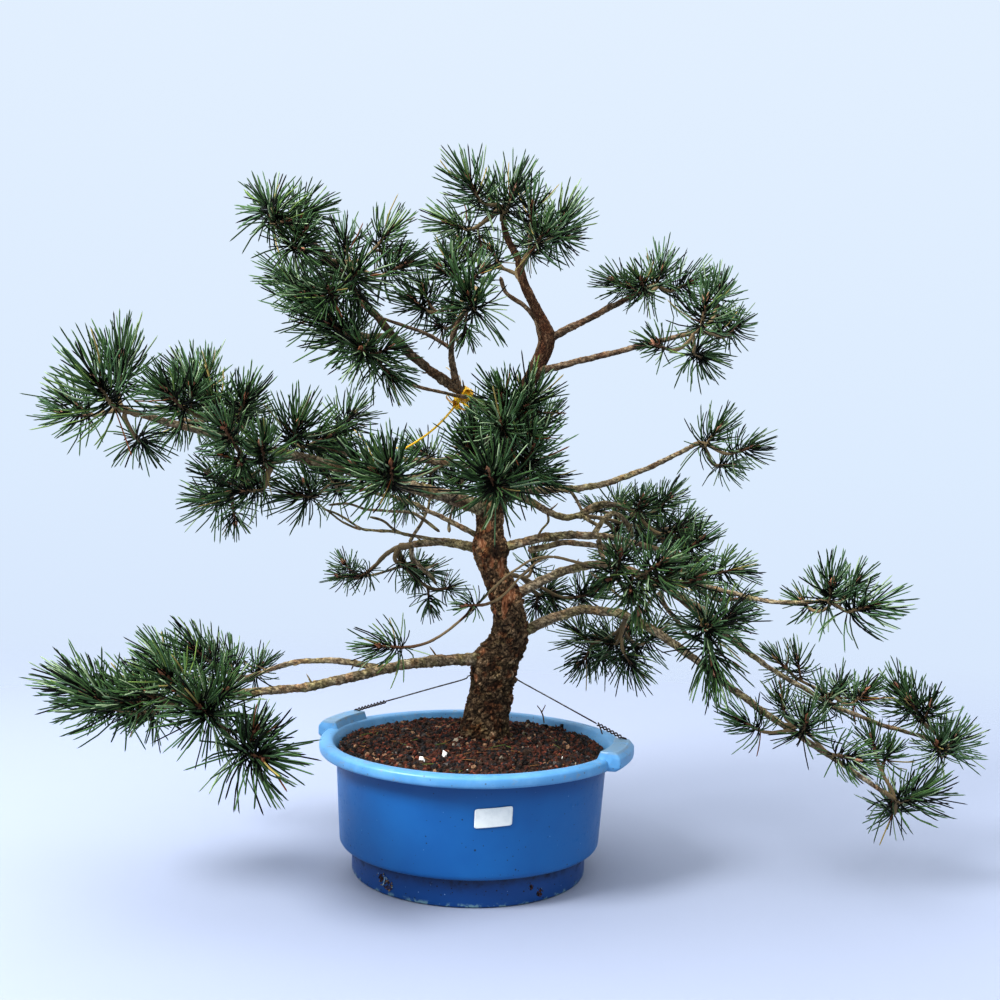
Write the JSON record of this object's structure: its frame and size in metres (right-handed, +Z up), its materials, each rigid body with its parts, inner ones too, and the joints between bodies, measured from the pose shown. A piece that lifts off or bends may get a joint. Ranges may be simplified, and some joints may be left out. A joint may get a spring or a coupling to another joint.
{
  "type": "potted scots pine in training",
  "caption": "Scots pine in training as a bonsai: sinuous fissured trunk, tapering boughs and tufts of paired needles, in a round speckled blue pot with gritty soil and a guy wire",
  "frame": {"origin": "centre of the pot's flat underside, on the surface that the pot stands on", "axes": "+Z up along the pot, +X to the right of the front view, where the longest bough reaches, +Y away from the front of the tree"},
  "size_m": [1.1582, 0.5582, 0.879],
  "materials": {
    "bark": "matte",
    "needles": "satin",
    "pot": "satin",
    "soil": "matte",
    "label": "satin",
    "wire": "satin",
    "tie": "satin"
  },
  "bodies": {
    "root": {"bough_back": "bark", "bough_left_main": "bark", "bough_left_stub": "bark", "bough_left_thin": "bark", "bough_left_upper": "bark", "bough_low_left": "bark", "bough_low_left_back": "bark", "bough_low_right": "bark", "bough_right_arm": "bark", "bough_right_far": "bark", "bough_right_high": "bark", "bough_right_long": "bark", "bough_right_loop": "bark", "bough_right_mid": "bark", "bough_right_top": "bark", "bough_upper_inner": "bark", "bough_upper_left": "bark", "bough_upper_right": "bark", "foliage_apex": "needles", "foliage_apex_back": "needles", "foliage_apex_right": "needles", "foliage_back_high": "needles", "foliage_back_left": "needles", "foliage_back_mid": "needles", "foliage_back_right": "needles", "foliage_crossing": "needles", "foliage_crown_inner": "needles", "foliage_crown_left": "needles", "foliage_crown_left_low": "needles", "foliage_crown_left_mid": "needles", "foliage_front": "needles", "foliage_front_high": "needles", "foliage_left_far": "needles", "foliage_left_front": "needles", "foliage_left_hanging": "needles", "foliage_left_inner": "needles", "foliage_left_top": "needles", "foliage_left_upper": "needles", "foliage_low_left": "needles", "foliage_low_left_back": "needles", "foliage_low_right_front": "needles", "foliage_low_right_long": "needles", "foliage_low_right_mid": "needles", "foliage_low_right_tip": "needles", "foliage_right_back": "needles", "foliage_right_far": "needles", "foliage_right_front": "needles", "foliage_right_high": "needles", "foliage_right_inner": "needles", "foliage_right_low": "needles", "foliage_right_mid": "needles", "foliage_right_top": "needles", "foliage_under_right": "needles", "foliage_upper_right": "needles", "guy_wire": "wire", "label": "label", "pot": "pot", "soil": "soil", "trunk": "bark", "yellow_tie": "tie"}
  },
  "joints": []
}
